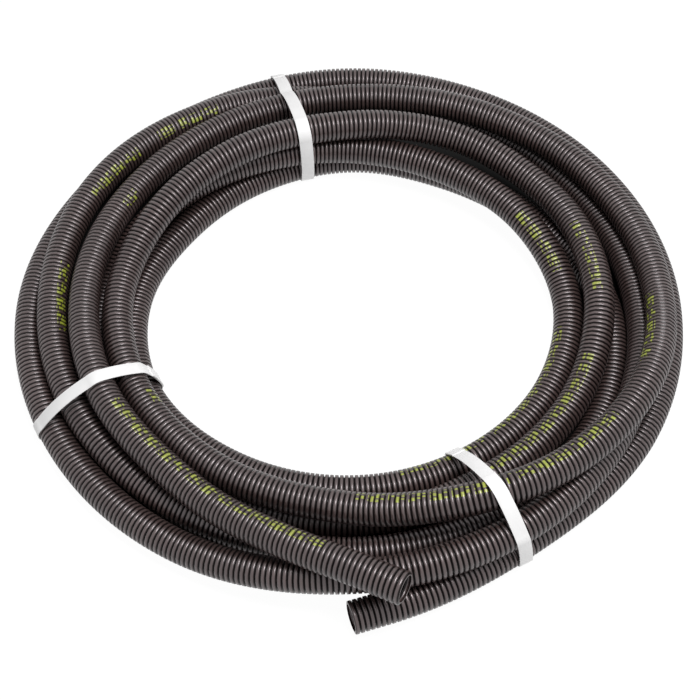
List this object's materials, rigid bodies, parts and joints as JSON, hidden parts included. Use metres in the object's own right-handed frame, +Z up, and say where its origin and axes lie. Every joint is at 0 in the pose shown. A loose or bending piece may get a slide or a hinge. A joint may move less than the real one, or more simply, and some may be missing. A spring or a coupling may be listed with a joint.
{
  "type": "vacuum hose",
  "caption": "Long ribbed flexible vacuum hose with plain cut ends, wound into a flat round coil and held together by flat plastic straps.",
  "frame": {"origin": "middle of the coil's own box, on the surface that it lies on", "axes": "+Z up, square to the coil's plane; -Y towards the side where both free ends of the hose lie; +X to the right of that side"},
  "size_m": [0.6265, 0.6592, 0.0898],
  "materials": {
    "hose": "black moulded plastic with a soft gloss on the ribs",
    "strap": "white polypropylene band, smooth"
  },
  "bodies": {
    "root": {"hose": "hose", "strap_left": "strap", "strap_back": "strap", "strap_front": "strap"}
  },
  "joints": []
}
